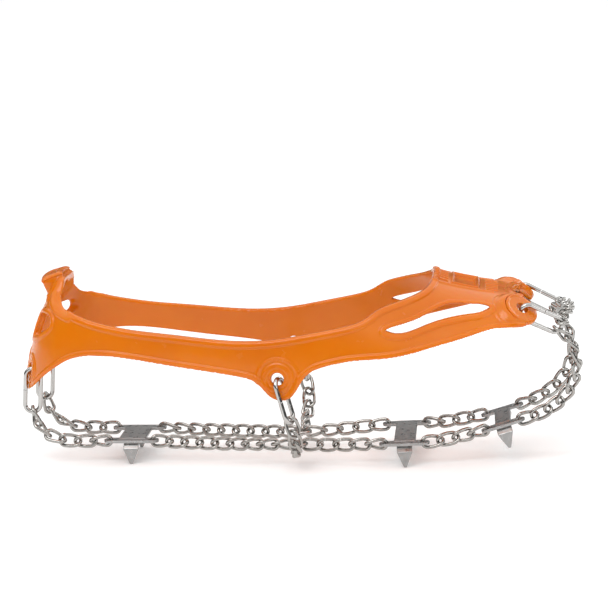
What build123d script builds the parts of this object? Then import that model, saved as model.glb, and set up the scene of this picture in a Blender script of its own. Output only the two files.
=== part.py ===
from build123d import *
import os
from math import sin, cos, pi, radians, degrees, sqrt, tan, atan2, ceil

os.makedirs("parts", exist_ok=True)

# Shoe ice cleats, worn shape: an elastomer harness round a small shoe, six oblong rings in its
# eyelets, three two-spike plates under the sole, and twisted-link chain between them.
# Millimetres. +X runs to the toe, +Y to the wearer's left, +Z up. Heights below are taken from
# the spike tips; each piece is lowered by SEAT_Z on export, so that Z = 0 is the shoe's sole.

# ---- driving dimensions -------------------------------------------------------------------
SEAT_Z = 9.0            # sole above the tips of the heel and ball spikes

SKIN = 2.4              # thickness of the harness moulding
EYELET_R = 2.3          # hole in each lobe
BOSS_R = 4.8            # raised disc round each hole
BOSS_RISE = 0.4

RING_LENGTH, RING_WIDTH, RING_WIRE = 18.0, 7.4, 1.7
BUTT_GAP = 0.2          # between the two cut ends of a bent wire

LINK_WIRE, LINK_WIDTH = 1.3, 5.5
LINK_PITCH = 6.15       # greatest pitch, with the chain pulled tight
LINK_PLAY = 0.35        # air between two links pulled tight

JUNCTION_R, JUNCTION_WIRE = 3.1, 1.5

PLATE_T = 1.0           # stamped steel
PAD_RISE = 0.2          # the middle of a plate's web stands this much proud, under the sole
EAR_R, EAR_HOLE_R = 2.75, 1.35
SPIKE_W, SPIKE_LEN = 5.6, 5.6

# plate: name -> (centre x, web height, nose-up tilt in degrees, ear spacing, ear y, spike y)
PLATES = {
    "heel": (-64.5, 8.3, 0.0, 15.0, 10.5, 13.0),
    "ball": (37.0, 8.3, 2.0, 13.0, 16.0, 19.0),
    "front": (73.0, 14.3, 17.0, 11.0, 12.5, 15.2),
}

# eyelet centres on the outer face (left side) and the ends of the rings that hang from them
HEEL_EYELET, MID_EYELET, FRONT_EYELET = (-100.9, 12.0, 36.1), (-7.2, 36.5, 36.7), (79.9, 22.8, 59.4)
# ring: name -> (point its free end hangs towards, turn about its own axis in degrees)
RINGS = {
    "heel": ((-101.0, 11.9, 19.5), -23),
    "mid": ((-2.4, 36.9, 20.2), -20),
    "front": ((95.4, 19.4, 51.0), 25),
}

# shoe outline in plan at its widest girth (left half, heel to toe)
PLAN = [(-102, 0), (-100.6, 9), (-96.2, 17), (-88, 23.8), (-75.5, 28), (-60, 30.4), (-40, 32),
        (-15, 34), (10, 36.3), (30, 38), (48, 38.4), (62, 37), (75, 33.3), (87, 27), (97, 18),
        (103.5, 8.5), (105.5, 0)]
# top line of the girths (x, z) and the two exponents of their superellipse, one per plan point
TOP = [(-30, 92), (-31, 92.5), (-33, 93), (-36, 93.5), (-40, 94), (-42, 94), (-36, 94), (-12, 91),
       (12, 85), (31, 76.5), (47, 68.0), (59, 63.8), (70, 61.4), (77, 60.0), (81, 59.2),
       (84, 58.5), (86, 58)]
RISE_POWER = [3.0] * 10 + [3.2, 3.8, 4.6, 5.2, 5.2, 5.0, 5.0]
WIDTH_POWER = [2.0] * 10 + [2.1, 2.5, 3.2, 3.8, 3.8, 3.6, 3.6]
GIRTH_Z = 10.0          # height of the widest girth

# outline of the harness seen from the side (x, z)
UPPER_EDGE = [(-87.2, 64.5), (-85, 60.4), (-79.4, 57.2), (-71.8, 55.1), (-60.4, 53.1), (-46, 51.6),
              (-21, 49.4), (-7, 50.2), (8, 52.8), (18, 54.8), (24, 56.9), (29.2, 60.2), (34, 61.9),
              (39.2, 63.4), (44.8, 65.3), (47.6, 67.4), (48.3, 72)]
LOWER_EDGE = [(-103.5, 27.5), (-99.5, 30.2), (-95, 34.5), (-89.1, 39.1), (-83.9, 42.2),
              (-77, 44), (-69, 44.2), (-60.5, 43.4), (-48, 41.5), (-35.4, 39.7), (-20.5, 37.5),
              (-15.6, 36), (-12.9, 33.7), (-10, 30.7), (-6.5, 29.4), (-3.4, 30), (-1.1, 32.3),
              (1.4, 36.1), (4.7, 39.4), (10.1, 41.5), (18.3, 43.2), (30.9, 44.2), (39.1, 45.5),
              (47.6, 47.7), (61.5, 51.4), (71, 53.6), (79.9, 53.2), (83.9, 53.9), (86, 55.8),
              (86.4, 58.5), (87.5, 64)]
SIDE_WINDOW = [(31.8, 52.9), (35.1, 52.1), (46.4, 54.8), (61.6, 57.6), (66.5, 58.4), (68.6, 59.6),
               (66.3, 60.6), (61.6, 61.1), (52.4, 61.1), (49.2, 59.9), (44.7, 58), (39.2, 56.1)]
FRONT_EDGE = [(76.6, -2), (76.6, 3), (77.6, 9), (79.2, 14), (80.3, 20), (80.6, 32)]   # (x, y)
FRONT_LOBE_R = 6.5
# seen from behind (y, z)
HEEL_ARCH = [(-3, 40.6), (3, 39.8), (5.8, 36.5), (7.4, 31.5), (9.5, 28.6)]
HEEL_WINDOW = [(9.0, 47.6), (13, 48.3), (17, 50.6), (19.6, 53.8), (17.8, 56.6), (13, 57.0), (9.4, 56.2),
               (8.3, 52.0)]
TAB_SHOULDER = [(24, 57.5), (17.5, 60.5), (12.5, 64.2), (10.3, 68.5), (10, 76)]
TAB_PROFILE = [(-95.3, 59.8), (-95.2, 63.2), (-97.4, 68.0), (-96.4, 69.5), (-90.0, 71.4), (-89.2, 70.6),
               (-89.6, 67.0), (-91.6, 63.0), (-93.3, 59.8)]
TAB_CENTRE_X, TAB_HALF_ANGLE = -66.0, 19.0     # the tab follows the round of the heel


# ---- the shoe's surface -------------------------------------------------------------------
def blend(values, t):
    """Value at t in a list that holds one value for each plan point."""
    i = min(max(int(t), 0), len(values) - 2)
    f = min(max(t - i, 0.0), 1.0)
    f = f * f * (3 - 2 * f)
    return values[i] * (1 - f) + values[i + 1] * f


def along(points, t, mirrored):
    """Point at t on a Catmull-Rom curve; a mirrored curve runs on across the centre line."""
    n = len(points) - 1

    def at(i):
        if i < 0:
            x, y = points[-i]
            return (x, -y) if mirrored else (2 * points[0][0] - x, 2 * points[0][1] - y)
        if i > n:
            x, y = points[2 * n - i]
            return (x, -y) if mirrored else (2 * points[n][0] - x, 2 * points[n][1] - y)
        return points[i]

    i = int(t) if t >= 0 else int(t) - 1
    i = min(i, n)
    f = t - i
    p = [at(i - 1), at(i), at(i + 1), at(i + 2)]
    return tuple(0.5 * (2 * p[1][k] + (p[2][k] - p[0][k]) * f
                        + (2 * p[0][k] - 5 * p[1][k] + 4 * p[2][k] - p[3][k]) * f ** 2
                        + (3 * p[1][k] - p[0][k] - 3 * p[2][k] + p[3][k]) * f ** 3) for k in (0, 1))


def girth(t, count, low=0.12, past=0.07):
    """Evenly spaced points up one girth.

    Behind the instep it stops at the shoe's mouth; over the instep it runs just past the centre line.
    """
    f = min(max((t - 8.2) / 2.0, 0.0), 1.0)
    stop = 0.62 - (0.62 + past) * f * f * (3 - 2 * f)
    (bx, by), (tx, tz) = along(PLAN, t, True), along(TOP, t, False)
    a, b = blend(RISE_POWER, t), blend(WIDTH_POWER, t)
    fine, lengths = [], [0.0]
    for i in range(241):
        q = i / 240 * (pi / 2 + 2 * past)
        w = abs(cos(q)) ** (2 / b) * (1 if cos(q) >= 0 else -1)
        s = abs(sin(q)) ** (2 / a)
        if s < low or w < stop:
            continue
        fine.append((tx + (bx - tx) * w, by * w, GIRTH_Z + (tz - GIRTH_Z) * s))
        if len(fine) > 1:
            lengths.append(lengths[-1] + sqrt(sum((p - r) ** 2 for p, r in zip(fine[-1], fine[-2]))))
    points, j = [], 0
    for i in range(count):
        want = lengths[-1] * i / (count - 1)
        while j < len(lengths) - 2 and lengths[j + 1] < want:
            j += 1
        f = (want - lengths[j]) / (lengths[j + 1] - lengths[j])
        points.append(Vector(*[p + (r - p) * f for p, r in zip(fine[j], fine[j + 1])]))
    return points


# ---- harness ------------------------------------------------------------------------------
def side_prism(points, y1=60):
    """A closed outline in the side view, drawn out from the centre line to the left."""
    p = [Vector(x, -1, z) for x, z in points]
    return extrude(Face(Wire([Spline(*p, periodic=True)])), amount=y1, dir=(0, 1, 0))


def offset_rows(rows, distance):
    """Each row moved out by distance, staying in the row's own upright plane."""
    out = []
    for i, row in enumerate(rows):
        before, after = rows[max(i - 1, 0)][0], rows[min(i + 1, len(rows) - 1)][0]
        forward = Vector(after.X - before.X, after.Y - before.Y, 0).normalized()
        plan_normal = Vector(-forward.Y, forward.X, 0)
        inward = Vector(row[-1].X - row[0].X, row[-1].Y - row[0].Y, 0).normalized()
        reach = distance / max(0.6, -inward.dot(plan_normal))
        moved = []
        for j, p in enumerate(row):
            rise = (row[min(j + 1, len(row) - 1)] - row[max(j - 1, 0)]).normalized()
            normal = Vector(0, 0, 1) * rise.dot(inward) - inward * rise.Z
            moved.append(p + normal.normalized() * reach)
        out.append(moved)
    return out


def skin_between(inner, outer):
    """Solid lofted through the closed sections that run up one row and down the other."""
    sections = []
    for a, b in zip(inner, outer):
        sections.append(Wire([Spline(*a), Line(a[-1], b[-1]), Spline(*b[::-1]), Line(b[0], a[0])]))
    return Solid.make_loft(sections)


def make_harness():
    rows = [girth(-0.15 + 15.15 * i / 30, 12) for i in range(31)]
    shell = skin_between(rows, offset_rows(rows, SKIN))
    up = Spline(*[Vector(x, -1, z) for x, z in UPPER_EDGE])
    low = Spline(*[Vector(x, -1, z) for x, z in LOWER_EDGE])
    a, b = Vector(*UPPER_EDGE[0]), Vector(*UPPER_EDGE[-1])
    c, d = Vector(*LOWER_EDGE[0]), Vector(*LOWER_EDGE[-1])
    corners = [Vector(-87.2, -1, 80), Vector(-110, -1, 80), Vector(-110, -1, 27.5)]
    edges = [up, Line(up @ 0, corners[0]), Line(corners[0], corners[1]), Line(corners[1], corners[2]),
             Line(corners[2], low @ 0), low, Line(low @ 1, Vector(87.5, -1, 72)),
             Line(Vector(87.5, -1, 72), up @ 1)]
    keep = extrude(Face(Wire(edges)), amount=61, dir=(0, 1, 0))
    half = shell & keep & Pos(0, 50, 50) * Box(300, 100, 200)

    front = Spline(*[Vector(x, y, 50) for x, y in FRONT_EDGE])
    loop = [front, Line(front @ 1, Vector(110, 32, 50)), Line(Vector(110, 32, 50), Vector(110, -2, 50)),
            Line(Vector(110, -2, 50), front @ 0)]
    half -= extrude(Face(Wire(loop)), amount=25, dir=(0, 0, 1))

    arch = Spline(*[Vector(-120, y, z) for y, z in HEEL_ARCH])
    loop = [arch, Line(arch @ 1, Vector(-120, 9.5, 10)), Line(Vector(-120, 9.5, 10), Vector(-120, -3, 10)),
            Line(Vector(-120, -3, 10), arch @ 0)]
    half -= extrude(Face(Wire(loop)), amount=40, dir=(1, 0, 0))

    slot = Spline(*[Vector(-120, y, z) for y, z in HEEL_WINDOW], periodic=True)
    half -= extrude(Face(Wire([slot])), amount=38, dir=(1, 0, 0))

    shoulder = Spline(*[Vector(-120, y, z) for y, z in TAB_SHOULDER])
    loop = [shoulder, Line(shoulder @ 1, Vector(-120, 45, 76)), Line(Vector(-120, 45, 76), Vector(-120, 45, 57.5)),
            Line(Vector(-120, 45, 57.5), shoulder @ 0)]
    half -= extrude(Face(Wire(loop)), amount=36, dir=(1, 0, 0))
    half -= Pos(-100, 0, 79) * Box(60, 100, 20)
    half -= side_prism(SIDE_WINDOW)

    for name, (centre, normal) in EYELETS.items():
        at = Plane(origin=centre, z_dir=normal)
        if name == "front":
            half += at * Pos(0, 0, -SKIN / 2) * Cylinder(FRONT_LOBE_R, SKIN)
        else:
            half += at * Pos(0, 0, -SKIN / 2 + BOSS_RISE / 2) * Cylinder(BOSS_R, SKIN + BOSS_RISE)
        half -= at * Cylinder(EYELET_R, 14)

    tab_edges = [Vector(x, 0, z) for x, z in TAB_PROFILE]
    outline = Wire([Line(tab_edges[i], tab_edges[(i + 1) % len(tab_edges)]) for i in range(len(tab_edges))])
    tab = revolve(Face(outline), Axis((TAB_CENTRE_X, 0, 0), (0, 0, 1)), TAB_HALF_ANGLE)
    if tab.bounding_box().max.Y < 1:
        tab = revolve(Face(outline), Axis((TAB_CENTRE_X, 0, 0), (0, 0, -1)), TAB_HALF_ANGLE)
    half += tab
    whole = half + mirror(half, about=Plane.XZ)
    return whole


EYELETS = {
    "heel": (HEEL_EYELET, (-0.91, 0.39, 0.12)),
    "mid": (MID_EYELET, (-0.08, 1, 0.08)),
    "front": (FRONT_EYELET, (0.49, 0.47, 0.73)),   # this lobe is pulled into line with its ring
}


# ---- wire pieces --------------------------------------------------------------------------
def rounded_loop(corners, gap):
    """Wire round (corner, radius) pairs on tangent arcs, with a butt gap mid-way on the last side."""
    n = len(corners)
    marks = []
    for i, (p, radius) in enumerate(corners):
        before = (corners[i - 1][0] - p).normalized()
        after = (corners[(i + 1) % n][0] - p).normalized()
        half = radians(before.get_angle(after)) / 2
        setback = radius / tan(half)
        bisector = (before + after).normalized()
        centre = p + bisector * (radius / sin(half))
        marks.append((p + before * setback, centre - bisector * radius, p + after * setback))
    last, first = marks[-1][2], marks[0][0]
    butt = (first - last).normalized() * (gap / 2)
    middle = (first + last) / 2
    edges = [Line(middle + butt, first)]
    for i, (start, crest, end) in enumerate(marks):
        edges.append(ThreePointArc(start, crest, end))
        edges.append(Line(end, marks[i + 1][0] if i < n - 1 else middle - butt))
    return edges


def swept(edges, wire_d):
    """Round wire along the edges, with its faces looking outwards whichever way the path turns."""
    path = Wire(edges)
    for side in (-1, 1):
        section = Plane(origin=edges[0] @ 0, z_dir=(edges[0] % 0) * side) * Circle(wire_d / 2)
        solid = sweep(section, path=path)
        if not solid.is_inside((500, 0, 0)):
            return solid
    return solid


def frame_at(origin, x_dir, z_dir):
    """Plane whose X is x_dir and whose Z is z_dir made square to it."""
    x = Vector(*x_dir).normalized()
    z = Vector(*z_dir)
    z = (z - x * z.dot(x)).normalized()
    return Plane(origin=origin, x_dir=x, z_dir=z)


def mid_skin(name):
    """Centre of an eyelet, half-way through the skin and its boss."""
    centre, normal = EYELETS[name]
    return tuple(Vector(*centre) - Vector(*normal).normalized() * (SKIN - BOSS_RISE) / 2)


def ring_frame(name):
    """A ring's plane: origin in the eyelet, X along the ring, Z across it through the skin."""
    end, roll = RINGS[name]
    start = Vector(*mid_skin(name))
    at = frame_at(start, Vector(*end) - start, EYELETS[name][1])
    across = at.z_dir * cos(radians(roll)) - at.y_dir * sin(radians(roll))
    return Plane(origin=start, x_dir=at.x_dir, z_dir=across)


def ring(name):
    """Oblong ring whose end bar is in the eyelet; its wire is split mid-way along one side."""
    at = ring_frame(name)
    long_c, b = RING_LENGTH - RING_WIRE, (RING_WIDTH - RING_WIRE) / 2
    mid = long_c / 2

    def put(x, z):
        return at.from_local_coords(Vector(x, 0, z))

    edges = [Line(put(mid + BUTT_GAP / 2, b), put(long_c - b, b)),
             ThreePointArc(put(long_c - b, b), put(long_c, 0), put(long_c - b, -b)),
             Line(put(long_c - b, -b), put(b, -b)),
             ThreePointArc(put(b, -b), put(0, 0), put(b, b)),
             Line(put(b, b), put(mid - BUTT_GAP / 2, b))]
    return swept(edges, RING_WIRE)


LINK_LC = LINK_PITCH + LINK_WIRE + LINK_PLAY      # between the centres of a link's two end bars


def link(rear_roll, front_roll):
    """One twisted link along X, centred; its end bars lie at the two roll angles about X."""
    r, half = (LINK_WIDTH - LINK_WIRE) / 2, LINK_LC / 2
    corners = []
    for x, side in ((-half, 1), (-half, -1), (0, -1), (half, -1), (half, 1), (0, 1)):
        roll = radians(rear_roll + (front_roll - rear_roll) * (x + half) / (2 * half))
        corners.append((Vector(x, side * r * cos(roll), side * r * sin(roll)), 4.0 if x == 0 else r - 0.08))
    return swept(rounded_loop(corners, BUTT_GAP / 2), LINK_WIRE)


def path_points(controls, step=0.1):
    """Dense points on a smooth curve through the control points."""
    pts = [Vector(*c) for c in controls]
    if len(pts) == 2:
        curve = Line(pts[0], pts[1])
    else:
        curve = Spline(*pts)
    n = max(2, int(curve.length / step))
    return [curve @ (i / n) for i in range(n + 1)]


def chain(controls, start_bar, end_bar):
    """Links along a curve; the first and last end bars sit on the curve's two ends.

    start_bar and end_bar are the directions of those two bars. In between, each link's front bar
    crosses the next link's rear bar at a right angle, and the twist is shared by all the links.
    """
    dense = path_points(controls)
    lengths = [0.0]
    for a, b in zip(dense, dense[1:]):
        lengths.append(lengths[-1] + (b - a).length)
    total = lengths[-1]

    def at(s):
        s = min(max(s, 0.0), total)
        i = min(int(s / total * (len(dense) - 1)), len(dense) - 2)
        while lengths[i + 1] < s and i < len(dense) - 2:
            i += 1
        while lengths[i] > s and i > 0:
            i -= 1
        f = (s - lengths[i]) / (lengths[i + 1] - lengths[i])
        return dense[i] + (dense[i + 1] - dense[i]) * f

    count = int(ceil((total - LINK_LC) / LINK_PITCH - 0.02)) + 1
    pitch = (total - LINK_LC) / (count - 1)
    places = []
    for i in range(count):
        s = LINK_LC / 2 + pitch * i
        a, b = at(s - LINK_LC / 2), at(s + LINK_LC / 2)
        mid, axis = (a + b) / 2, (b - a).normalized()
        outward = mid - Vector(mid.X * 0.85, 0, 40)
        places.append(frame_at(mid, axis, outward))

    def roll(place, bar):
        v = Vector(*bar)
        return degrees(atan2(v.dot(place.z_dir), v.dot(place.y_dir)))

    start_roll, end_roll = roll(places[0], start_bar), roll(places[-1], end_bar)
    twist_sum = end_roll - start_roll + 90 * (count - 1)
    twist = min(((twist_sum + 180 * k) / count for k in range(-6, 7)), key=lambda v: abs(v - 76))
    links, rear = [], start_roll
    for place in places:
        links.append(place.location * link(rear, rear + twist))
        rear += twist - 90
    bends = [round(a.z_dir.cross(a.y_dir).get_angle(b.z_dir.cross(b.y_dir))) for a, b in zip(places, places[1:])]
    print("   links", count, "pitch", round(pitch, 2), "twist", round(twist, 1), "bends", bends)
    return links


# ---- plates -------------------------------------------------------------------------------
def plate(name):
    """A stamped plate: a web across the sole, four eared corners and two folded spikes."""
    cx, web_z, tilt, ear_span, ear_y, spike_y = PLATES[name]
    half = PLATE_T / 2
    web = Box(ear_span - 5.0, 2 * (ear_y + 0.5), PLATE_T)
    pad = Pos(0, 0, PAD_RISE / 2) * Box(ear_span - 5.6, 2 * (ear_y - 1.0), PLATE_T + PAD_RISE)
    body = web + pad
    for sx in (-1, 1):
        for sy in (-1, 1):
            x, y = sx * ear_span / 2, sy * ear_y
            arm = Pos(sx * ear_span / 4, y, 0) * Box(ear_span / 2, 2 * EAR_R, PLATE_T)
            body += arm + Pos(x, y, 0) * Cylinder(EAR_R, PLATE_T)
    for sx in (-1, 1):
        for sy in (-1, 1):
            body -= Pos(sx * ear_span / 2, sy * ear_y, 0) * Cylinder(EAR_HOLE_R, 10)
    root_y, foot_y = ear_y + 0.4, spike_y
    drop = 2.5
    for sy in (-1, 1):
        flange = Polygon((root_y, half), (root_y, -half), (foot_y - half, -half - drop),
                         (foot_y + half, -half - drop + 0.4), align=None)
        flange = Plane.YZ * flange
        solid = extrude(flange, amount=SPIKE_W / 2, both=True)
        tip = Polygon((-SPIKE_W / 2, 0), (SPIKE_W / 2, 0), (0.5, -SPIKE_LEN), (-0.5, -SPIKE_LEN), align=None)
        tip = extrude(Plane.XZ * tip, amount=half, both=True)
        solid += Pos(0, foot_y, -half - drop + 0.3) * tip
        body += solid if sy > 0 else mirror(solid, about=Plane.XZ)
    return Location((cx, 0, web_z), (0, -tilt, 0)) * body


def ear(name, side_x, side_y):
    """Centre of an ear's hole; side_x +1 is the toe side, side_y +1 the left."""
    cx, web_z, tilt, ear_span, ear_y, _ = PLATES[name]
    return (cx + side_x * ear_span / 2 * cos(radians(tilt)), side_y * ear_y,
            web_z + side_x * ear_span / 2 * sin(radians(tilt)))


# ---- assembly -----------------------------------------------------------------------------
CROSS = (RING_WIRE + LINK_WIRE) / 2 + 0.3      # between the centres of a ring's wire and a link's bar
HOOK = JUNCTION_R - (JUNCTION_WIRE + LINK_WIRE) / 2 - 0.12
JUNCTION = (-2.6, 10.0, 6.6)
FRONT_BAR_ANGLE, TOE_BAR_ANGLE = -68, 40         # round the free end of a front ring, from its axis


def ring_end(name, angle, inset):
    """Point inside a ring's free end: inset from the wire's centre, at an angle from the axis."""
    at = ring_frame(name)
    r = (RING_WIDTH - RING_WIRE) / 2
    reach = r - inset
    x = RING_LENGTH - RING_WIRE - r + reach * cos(radians(angle))
    return at.from_local_coords(Vector(x, 0, reach * sin(radians(angle))))


def lead(name, angle, distance):
    """Point straight out from a ring's end bar, where a chain leaves it."""
    inner, outer = ring_end(name, angle, CROSS), ring_end(name, angle, 0)
    return outer + (outer - inner).normalized() * (distance - CROSS)


def build_all():
    parts = {"harness": [make_harness()]}
    parts.update(build_metal())
    return parts


def build_metal():
    parts = {}
    for name in PLATES:
        parts[name + "_spike_plate"] = [plate(name)]
    jx, jy, jz = JUNCTION
    left = {name + "_ring": [ring(name)] for name in RINGS}
    left["junction_ring"] = [Pos(jx, jy, jz) * Torus(JUNCTION_R, JUNCTION_WIRE / 2)]
    up = (0, 0, 1)
    square = {name: ring_frame(name).y_dir for name in RINGS}
    tilted = {name: (-sin(radians(PLATES[name][2])), 0, cos(radians(PLATES[name][2]))) for name in PLATES}
    runs = {
        "heel_chain": ([ring_end("heel", 0, CROSS), (-100.2, 11.9, 16.4), (-96.6, 11.8, 11.6),
                        (-91, 11.7, 8.9), (-85, 11.4, 8.2), ear("heel", -1, 1)],
                       square["heel"], tilted["heel"]),
        "arch_chain": ([ear("heel", 1, 1), (-50, 10.6, 7.9), (-12, 10.2, 6.6), (jx - HOOK, jy, jz)],
                       tilted["heel"], up),
        "mid_chain": ([(jx, jy + HOOK, jz), (jx, 17, 6.4), (-2.2, 24.6, 7.2), (-1.6, 31, 10.4), (-1.2, 35.2, 15.4),
                       lead("mid", 0, 3.0), ring_end("mid", 0, CROSS)], up, square["mid"]),
        "ball_chain": ([(jx + HOOK, jy, jz), (8, 11.9, 6.7), (22, 14.6, 7.6), ear("ball", -1, 1)],
                       up, tilted["ball"]),
        "forefoot_chain": ([ear("ball", 1, 1), (50, 15, 9.0), (60, 13.6, 11.0), ear("front", -1, 1)],
                           tilted["ball"], tilted["front"]),
        "front_chain": ([ear("front", 1, 1), (84, 13.2, 17.6), (90, 13.9, 20.6), (95.2, 14.6, 25.0),
                         (98.6, 15.4, 31.0), (99.8, 16.6, 38.0),
                         ring_end("front", FRONT_BAR_ANGLE, CROSS)], tilted["front"], square["front"]),
    }
    for name, (route, a, b) in runs.items():
        print(name)
        left[name] = chain(route, a, b)
    for name, solids in left.items():
        parts[name + "_left"] = solids
        parts[name + "_right"] = [mirror(s, about=Plane.XZ) for s in solids]

    # the toe chain's end links clasp the rings from inside, square to the rings' planes
    at = ring_frame("front")
    radial = at.x_dir * cos(radians(TOE_BAR_ANGLE)) + at.z_dir * sin(radians(TOE_BAR_ANGLE))
    square_in = at.y_dir if at.y_dir.Y < 0 else -at.y_dir
    wire = ring_end("front", TOE_BAR_ANGLE, 0)
    start = wire - square_in * (CROSS + 0.03)
    near = wire + square_in * 5.4
    half_route = [start, near, Vector(96.3, 8.0, 55.7)]
    route = half_route + [Vector(97.2, 0, 55.8)] + [Vector(v.X, -v.Y, v.Z) for v in half_route[::-1]]
    print("toe_chain")
    parts["toe_chain"] = chain([tuple(v) for v in route], tuple(radial), (radial.X, -radial.Y, radial.Z))
    return parts


if __name__ == "__main__":
    for node, solids in build_all().items():
        flat = [s for piece in solids for s in piece.solids()]
        moved = [s.moved(Location((0, 0, -SEAT_Z))) for s in flat]
        shape = moved[0] if len(moved) == 1 else Compound(children=moved)
        shape.label = node
        export_step(shape, f"parts/{node}.step")
        box = shape.bounding_box()
        print(node, len(flat), "solids", round(sum(s.volume for s in flat), 1), "mm3", box.min, box.max)
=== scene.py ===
"""Shoe ice cleats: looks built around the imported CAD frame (Blender 4.5).

The harness moulding and the spike plates are rebuilt as fine meshes over their CAD nodes. Rings and
chain keep their CAD shape and get procedural steel. The scene is in metres in the row's frame, and
the harness's features are worked out in millimetres in the same frame.
"""

from math import cos, radians, sin

import bmesh
import bpy
import numpy as np
from mathutils import Matrix, Vector, kdtree


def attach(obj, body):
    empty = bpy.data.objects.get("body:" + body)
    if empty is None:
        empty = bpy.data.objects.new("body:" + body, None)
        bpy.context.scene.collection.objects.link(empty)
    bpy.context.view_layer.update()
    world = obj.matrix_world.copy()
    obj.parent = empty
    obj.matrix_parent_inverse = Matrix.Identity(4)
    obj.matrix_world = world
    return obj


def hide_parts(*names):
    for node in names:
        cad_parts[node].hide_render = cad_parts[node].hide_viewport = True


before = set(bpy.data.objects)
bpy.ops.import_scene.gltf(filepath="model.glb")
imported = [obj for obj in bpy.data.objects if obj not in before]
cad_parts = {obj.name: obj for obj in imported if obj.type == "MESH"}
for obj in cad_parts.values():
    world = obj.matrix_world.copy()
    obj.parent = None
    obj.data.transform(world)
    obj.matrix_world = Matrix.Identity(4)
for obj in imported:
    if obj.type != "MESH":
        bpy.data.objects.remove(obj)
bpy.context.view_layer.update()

MM = 0.001
FLOOR_Z = -9.05 * MM        # just under the spike tips

# camera: a long lens, slightly above and to the toe side of square-on
CAMERA_AZIMUTH, CAMERA_ELEVATION, CAMERA_ROLL = radians(4.6), radians(10.0), radians(-1.25)
CAMERA_TARGET = Vector((0.0, 0.0, 48.4 * MM))
CAMERA_DISTANCE, CAMERA_LENS = 0.8, 128.0

# area lights: name -> (place, size, power in watts), all aimed at one point
LIGHT_AIM = Vector((0.0, 0.0, 0.02))
LIGHTS = {
    "key": ((-0.35, -0.75, 0.95), (0.7, 0.5), 4.5),
    "rim": ((0.75, 0.65, 0.55), (0.5, 0.3), 1.6),
    "fill": ((0.7, -0.7, 0.35), (0.4, 0.25), 0.8),
}
WORLD_STRENGTH = 1.18
HORIZON_SHADES = ((0.20, 0.07), (0.38, 0.30), (0.50, 1.0))     # height of a direction, grey level
FLOOR_HALF, FLOOR_GREY, FLOOR_GLOW = 6.0, 0.93, 0.10

# harness features, in millimetres in the row's frame (left side, mirrored for the right)
EYELETS = [(-100.9, 12.0, 27.1), (-7.2, 36.5, 27.7), (79.9, 22.8, 50.4)]   # heel, mid, front
EYELET_CLEAR = [5.6, 5.6, 8.6]          # no edge lip nearer to each eyelet than this
FRONT_LOBE_NORMAL = Vector((0.49, 0.47, 0.73)).normalized()
FRONT_RING_DIRECTION = Vector((0.83, -0.16, -0.43)).normalized()
HARNESS_VOXEL, HARNESS_RELAX = 0.24, 26
PLATE_VOXEL, PLATE_RELAX = 0.16, 3
RIM_ANGLE, RIM_STEP = radians(38), 0.3  # an edge this sharp is a rim; spacing of points along it
RIM_LIP = 0.50                          # height of the lip along every edge
LOBE_DISC_R, LOBE_FALL = 4.6, 0.085     # where the front lobe's fill starts, and how fast it drops
CORE_X, CORE_Z = (-72, 58), 14          # line inside the harness that its outer face looks away from
SOFT_ZONES = [      # centre, full effect within, none beyond, hole left alone, rounds of smoothing
    (EYELETS[2], 8.0, 11.0, 3.2, 25),
    ((-93.5, 2.0, 59.5), 9.0, 12.0, 0.0, 110),      # the pull tab at the heel
    ((-85.0, 21.5, 50.3), 3.0, 7.0, 0.0, 160),      # where the tab's shoulder meets the upper edge
]
INSTEP = (45, 76)                       # x range of the instep panel's relief
INSTEP_WINDOW = (55.8, 63.2, 10.4)      # recess: x from, x to, half-width
SLOT_ROWS = [(48.9, 53.4, 3.4, 3), (67.0, 71.4, 3.6, 3)]   # x from, x to, y pitch, pairs of slots
CREST_Y, CREST_X = 13.4, (48, 70)       # ridge along each side of the instep panel


# ---- camera, light and floor ----------------------------------------------------------------
def add_camera():
    az, el, roll = CAMERA_AZIMUTH, CAMERA_ELEVATION, CAMERA_ROLL
    back = Vector((sin(az) * cos(el), -cos(az) * cos(el), sin(el)))
    level_right = Vector((cos(az), sin(az), 0.0))
    level_up = level_right.cross(-back)
    right = level_right * cos(roll) + level_up * sin(roll)
    up = right.cross(-back)
    data = bpy.data.cameras.new("camera")
    data.lens, data.sensor_width = CAMERA_LENS, 36.0
    data.clip_start, data.clip_end = 0.01, 50.0
    camera = bpy.data.objects.new("camera", data)
    camera.matrix_world = (Matrix.Translation(CAMERA_TARGET + back * CAMERA_DISTANCE)
                           @ Matrix((right, up, back)).transposed().to_4x4())
    bpy.context.scene.collection.objects.link(camera)
    bpy.context.scene.camera = camera


def add_area_light(name, place, size, power):
    data = bpy.data.lights.new(name, "AREA")
    data.shape, data.size, data.size_y = "RECTANGLE", size[0], size[1]
    data.energy = power
    light = bpy.data.objects.new(name, data)
    light.location = place
    light.rotation_euler = (LIGHT_AIM - Vector(place)).to_track_quat("-Z", "Y").to_euler()
    bpy.context.scene.collection.objects.link(light)


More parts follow.
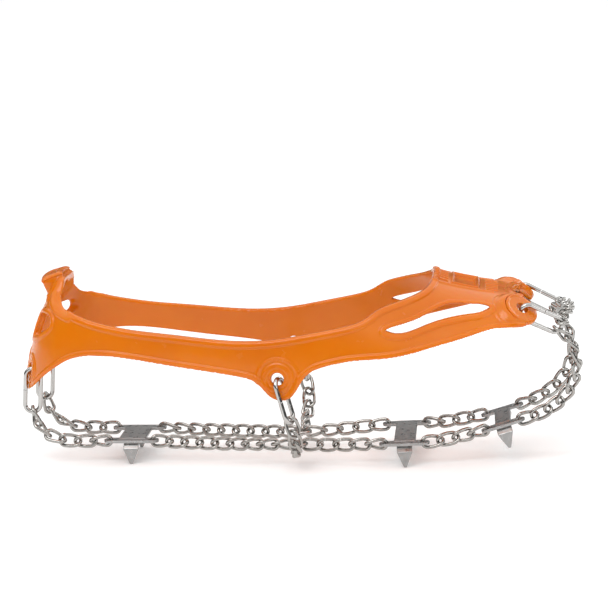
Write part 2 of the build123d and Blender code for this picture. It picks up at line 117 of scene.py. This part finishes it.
def add_world():
    """Soft studio surroundings: bright overhead, dark near the horizon."""
    world = bpy.data.worlds.new("studio")
    bpy.context.scene.world = world
    world.use_nodes = True
    nodes, links = world.node_tree.nodes, world.node_tree.links
    nodes.clear()
    out = nodes.new("ShaderNodeOutputWorld")
    back = nodes.new("ShaderNodeBackground")
    ramp = nodes.new("ShaderNodeValToRGB")
    split = nodes.new("ShaderNodeSeparateXYZ")
    place = nodes.new("ShaderNodeTexCoord")
    links.new(place.outputs["Generated"], split.inputs[0])
    links.new(split.outputs["Z"], ramp.inputs[0])
    stops = ramp.color_ramp.elements
    stops[0].position, stops[0].color = 0.0, (0.05, 0.052, 0.058, 1)
    stops[1].position, stops[1].color = 0.95, (1.0, 1.0, 1.0, 1)
    for position, shade in HORIZON_SHADES:
        stop = stops.new(position)
        stop.color = (shade, shade, shade, 1)
    links.new(ramp.outputs["Color"], back.inputs["Color"])
    back.inputs["Strength"].default_value = WORLD_STRENGTH
    links.new(back.outputs[0], out.inputs["Surface"])


def add_floor():
    mesh = bpy.data.meshes.new("studio_floor")
    corners = [(x * FLOOR_HALF, y * FLOOR_HALF, FLOOR_Z) for x, y in ((-1, -1), (1, -1), (1, 1), (-1, 1))]
    mesh.from_pydata(corners, [], [(0, 1, 2, 3)])
    floor = bpy.data.objects.new("studio_floor", mesh)
    bpy.context.scene.collection.objects.link(floor)
    material = bpy.data.materials.new("pale_floor")
    material.use_nodes = True
    shader = material.node_tree.nodes["Principled BSDF"]
    shader.inputs["Base Color"].default_value = (FLOOR_GREY, FLOOR_GREY, FLOOR_GREY, 1)
    shader.inputs["Roughness"].default_value = 0.85
    shader.inputs["Specular IOR Level"].default_value = 0.1
    shader.inputs["Emission Color"].default_value = (1, 1, 1, 1)
    shader.inputs["Emission Strength"].default_value = FLOOR_GLOW
    mesh.materials.append(material)


# ---- materials --------------------------------------------------------------------------------
class Nodes:
    """Small helper to build a material's node tree, on the piece's own coordinates in metres."""

    def __init__(self, name):
        self.material = bpy.data.materials.new(name)
        self.material.use_nodes = True
        self.tree = self.material.node_tree
        self.shader = self.tree.nodes["Principled BSDF"]
        self.coords = self.tree.nodes.new("ShaderNodeTexCoord").outputs["Object"]

    def link(self, a, b):
        self.tree.links.new(a, b)

    def noise(self, scale, detail, stretch=(1, 1, 1)):
        place = self.tree.nodes.new("ShaderNodeMapping")
        place.inputs["Scale"].default_value = stretch
        self.link(self.coords, place.inputs["Vector"])
        node = self.tree.nodes.new("ShaderNodeTexNoise")
        node.inputs["Scale"].default_value = scale
        node.inputs["Detail"].default_value = detail
        node.inputs["Roughness"].default_value = 0.55
        self.link(place.outputs[0], node.inputs["Vector"])
        return node.outputs["Fac"]

    def span(self, source, low, high, at):
        """Maps the source from the range at to low..high."""
        node = self.tree.nodes.new("ShaderNodeMapRange")
        node.inputs["From Min"].default_value, node.inputs["From Max"].default_value = at
        node.inputs["To Min"].default_value, node.inputs["To Max"].default_value = low, high
        self.link(source, node.inputs["Value"])
        return node.outputs["Result"]

    def ramp(self, source, stops):
        node = self.tree.nodes.new("ShaderNodeValToRGB")
        elements = node.color_ramp.elements
        elements[0].position, elements[0].color = stops[0][0], (*stops[0][1], 1)
        elements[1].position, elements[1].color = stops[-1][0], (*stops[-1][1], 1)
        for position, colour in stops[1:-1]:
            elements.new(position).color = (*colour, 1)
        self.link(source, node.inputs[0])
        return node.outputs["Color"]

    def bump(self, source, distance, strength, after=None):
        node = self.tree.nodes.new("ShaderNodeBump")
        node.inputs["Strength"].default_value = strength
        node.inputs["Distance"].default_value = distance
        self.link(source, node.inputs["Height"])
        if after is not None:
            self.link(after, node.inputs["Normal"])
        return node.outputs["Normal"]


def elastomer_material():
    """Translucent glossy orange moulding, a little cloudy, with faint moulding marks."""
    m = Nodes("orange_elastomer")
    colour = m.ramp(m.noise(26.0, 4.0), [(0.25, (0.62, 0.138, 0.001)), (0.55, (0.68, 0.168, 0.001)),
                                         (0.80, (0.72, 0.195, 0.002))])
    m.link(colour, m.shader.inputs["Base Color"])
    m.link(m.span(m.noise(180.0, 3.0), 0.16, 0.28, (0.3, 0.7)), m.shader.inputs["Roughness"])
    fine = m.bump(m.noise(2600.0, 2.0), 0.00001, 0.4)
    m.link(m.bump(m.noise(140.0, 2.0), 0.00010, 0.4, after=fine), m.shader.inputs["Normal"])
    for socket, value in (("IOR", 1.42), ("Specular IOR Level", 0.38),
                          ("Subsurface Weight", 0.35), ("Subsurface Radius", (1.0, 0.30, 0.04)),
                          ("Subsurface Scale", 0.0022), ("Coat Weight", 0.16), ("Coat Roughness", 0.06)):
        m.shader.inputs[socket].default_value = value
    return m.material


def steel_material(name, colour, rough, scratch_scale, dull=0.0):
    """Steel with fine handling scratches and a roughness that wanders."""
    m = Nodes(name)
    low = tuple(c * 0.90 for c in colour)
    wander = m.noise(240.0, 4.0)
    m.link(m.ramp(wander, [(0.3, low), (0.7, colour)]), m.shader.inputs["Base Color"])
    m.shader.inputs["Metallic"].default_value = 1.0
    m.link(m.span(m.noise(520.0, 3.0), rough, rough + 0.14 + dull, (0.35, 0.75)),
           m.shader.inputs["Roughness"])
    scratches = m.noise(scratch_scale, 2.0, stretch=(1.0, 0.12, 0.35))
    m.link(m.bump(scratches, 0.000008, 0.30 + dull), m.shader.inputs["Normal"])
    return m.material


# ---- harness ----------------------------------------------------------------------------------
def smoothstep(low, high, value):
    t = np.clip((value - low) / (high - low), 0.0, 1.0)
    return t * t * (3 - 2 * t)


def ridge(value, centre, half_width):
    """A smooth ridge of height 1 at centre."""
    return np.exp(-((value - centre) / half_width) ** 2)


def rim_points(node):
    """Closely spaced points along the moulding's sharp edges, away from its eyelets."""
    bm = bmesh.new()
    bm.from_mesh(node.data)
    bmesh.ops.remove_doubles(bm, verts=bm.verts, dist=2e-6)
    points = []
    for edge in bm.edges:
        if len(edge.link_faces) != 2 or edge.calc_face_angle() < RIM_ANGLE:
            continue
        a, b = edge.verts[0].co / MM, edge.verts[1].co / MM
        steps = max(1, int((b - a).length / RIM_STEP))
        for i in range(steps + 1):
            p = a + (b - a) * (i / steps)
            folded = Vector((p.x, abs(p.y), p.z))
            if all((folded - Vector(e)).length > clear for e, clear in zip(EYELETS, EYELET_CLEAR)):
                points.append(p)
    bm.free()
    return points


def voxel_copy(node, name, voxel, smooth):
    """A new mesh over a CAD node: even voxels, then smoothed so that every edge is rounded."""
    mesh = node.data.copy()
    mesh.materials.clear()
    piece = bpy.data.objects.new(name, mesh)
    bpy.context.scene.collection.objects.link(piece)
    remesh = piece.modifiers.new("remesh", "REMESH")
    remesh.mode, remesh.voxel_size = "VOXEL", voxel * MM
    relax = piece.modifiers.new("relax", "SMOOTH")
    relax.factor, relax.iterations = 0.5, smooth
    bpy.context.view_layer.update()
    fresh = bpy.data.meshes.new_from_object(piece.evaluated_get(bpy.context.evaluated_depsgraph_get()))
    piece.modifiers.clear()
    piece.data = fresh
    fresh.name = name
    return piece


def soften(p, edges, weight, iterations):
    """Relaxes the points p in place towards their neighbours, each by its weight."""
    edges = edges[(weight[edges] > 0).any(axis=1)]
    chosen = np.unique(edges)
    chosen = chosen[weight[chosen] > 0]
    count = len(p)
    degree = np.bincount(edges.ravel(), minlength=count)[chosen]
    pull = 0.5 * weight[chosen, None]
    for _ in range(iterations):
        total = np.stack([np.bincount(edges[:, 0], p[edges[:, 1], k], count)
                          + np.bincount(edges[:, 1], p[edges[:, 0], k], count) for k in range(3)], 1)
        p[chosen] += pull * (total[chosen] / degree[:, None] - p[chosen])


def fold(p):
    """The points mirrored on to the left side."""
    return np.stack([p[:, 0], np.abs(p[:, 1]), p[:, 2]], 1)


def soft_zone(p, centre, near, far, hole):
    """Weight 1 within near of the centre (on either side), 0 beyond far or inside the hole."""
    away = np.linalg.norm(fold(p) - np.array(centre), axis=1)
    weight = 1 - smoothstep(near, far, away)
    return weight * smoothstep(hole, hole + 1.5, away) if hole else weight


def blend_front_lobe(p, outer):
    """Fills the step round the front eyelet's disc in place, so that it grows out of the skin."""
    centre, normal = np.array(EYELETS[2]), np.array(FRONT_LOBE_NORMAL)
    for side in (1, -1):
        local = p * (1, side, 1) - centre
        height = local @ normal
        across = np.linalg.norm(local - height[:, None] * normal, axis=1)
        wanted = 0.03 - LOBE_FALL * np.clip(across - LOBE_DISC_R, 0, None) ** 2
        near = (across < 13) & (height > -6) & (outer > 0.3) & (p[:, 1] * side > 2)
        lift = np.where(near & (height < wanted), wanted - height, 0.0)
        lift *= 1 - smoothstep(7.5, 10.5, across)
        p += lift[:, None] * normal * (1, side, 1)


def harness_relief(p, n, rim_distance, eyelet_distance):
    """Height in mm to add to each point of the moulding's outer face."""
    x, y = p[:, 0], np.abs(p[:, 1])
    heel, mid, front = eyelet_distance.T
    near = np.minimum(heel, mid)
    lip = RIM_LIP * (1 - smoothstep(1.4, 2.2, rim_distance)) * (0.35 + 0.65 * smoothstep(5.0, 7.0, near))
    eye = 0.30 * ridge(near, 5.3, 0.50) - 0.15 * ridge(near, 3.6, 0.40) + 0.22 * ridge(mid, 7.4, 0.5)
    offset = fold(p) - np.array(EYELETS[2])
    behind = -(offset @ np.array(FRONT_RING_DIRECTION)) / np.maximum(front, 1e-6)
    arc = (0.30 * ridge(front, 6.0, 0.45) * smoothstep(0.0, 0.5, behind)
           + 0.24 * ridge(front, 10.5, 0.5) * smoothstep(0.35, 0.8, behind))

    top = smoothstep(0.45, 0.75, n[:, 2]) * (x > INSTEP[0]) * (x < INSTEP[1])
    x0, x1, half = INSTEP_WINDOW
    window = np.maximum(np.maximum(x0 - x, x - x1), y - half)      # below 0 inside the window
    panel = -0.95 * (1 - smoothstep(-0.4, 0.1, window)) + 0.70 * ridge(window, 0.9, 0.5)
    for a, b, pitch, pairs in SLOT_ROWS:
        nearest = np.clip(np.round(y / pitch), 0, pairs) * pitch
        slot = np.maximum(np.maximum(a - x, x - b), np.abs(y - nearest) - 1.0)
        panel -= 0.60 * (1 - smoothstep(-0.35, 0.2, slot)) * (y < pitch * (pairs + 0.5))
    crest = 0.45 * ridge(y, CREST_Y, 0.8) * (x > CREST_X[0]) * (x < CREST_X[1])
    return lip + eye + arc + top * (panel + crest)


def make_harness(node):
    """The moulding: a smooth voxel mesh, softened in places, with its relief pushed out."""
    rim = rim_points(node)
    tree = kdtree.KDTree(len(rim))
    for i, p in enumerate(rim):
        tree.insert(p, i)
    tree.balance()
    piece = voxel_copy(node, "harness_moulding", HARNESS_VOXEL, HARNESS_RELAX)
    mesh = piece.data
    count = len(mesh.vertices)
    co = np.empty(count * 3)
    normal = np.empty(count * 3)
    mesh.vertices.foreach_get("co", co)
    mesh.vertices.foreach_get("normal", normal)
    p, n = co.reshape(-1, 3) / MM, normal.reshape(-1, 3)
    outward = p - np.stack([np.clip(p[:, 0], *CORE_X), 0 * p[:, 1], 0 * p[:, 2] + CORE_Z], 1)
    outward /= np.linalg.norm(outward, axis=1)[:, None]
    outer = smoothstep(0.15, 0.45, (outward * n).sum(1))
    blend_front_lobe(p, outer)
    ends = np.empty(len(mesh.edges) * 2, dtype=np.int64)
    mesh.edges.foreach_get("vertices", ends)
    edges = ends.reshape(-1, 2)
    for centre, near, far, hole, rounds in SOFT_ZONES:
        soften(p, edges, soft_zone(p, centre, near, far, hole), rounds)
    rim_distance = np.array([tree.find(v)[2] for v in p])
    eyelet_distance = np.stack([np.linalg.norm(fold(p) - np.array(e), axis=1) for e in EYELETS], 1)
    height = harness_relief(p, n, rim_distance, eyelet_distance) * outer
    p = p + n * height[:, None]
    mesh.vertices.foreach_set("co", (p * MM).reshape(-1))
    mesh.polygons.foreach_set("use_smooth", [True] * len(mesh.polygons))
    mesh.update()
    mesh.materials.append(elastomer_material())
    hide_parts("harness")
    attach(piece, "harness")


# ---- steel ------------------------------------------------------------------------------------
def make_plate(node, material):
    """A stamped plate with rolled edges over its CAD node."""
    piece = voxel_copy(node, node.name + "_stamping", PLATE_VOXEL, PLATE_RELAX)
    piece.data.polygons.foreach_set("use_smooth", [True] * len(piece.data.polygons))
    piece.data.update()
    piece.data.materials.append(material)
    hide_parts(node.name)
    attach(piece, node.name)


def paint(node, material):
    for holder in node.material_slots:
        holder.material = material


add_camera()
add_world()
add_floor()
for name, (place, size, power) in LIGHTS.items():
    add_area_light(name, place, size, power)

ring_steel = steel_material("polished_ring_wire", (0.52, 0.51, 0.495), 0.07, 900.0)
chain_steel = steel_material("plated_chain_wire", (0.40, 0.39, 0.37), 0.11, 1100.0, dull=0.03)
plate_steel = steel_material("stamped_plate", (0.40, 0.40, 0.395), 0.26, 700.0, dull=0.12)

for name, node in sorted(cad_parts.items()):
    if name == "harness":
        make_harness(node)
    elif name.endswith("_spike_plate"):
        make_plate(node, plate_steel)
    elif "_ring_" in name:
        paint(node, ring_steel)
    else:
        paint(node, chain_steel)

bpy.context.scene.view_settings.view_transform = "Standard"
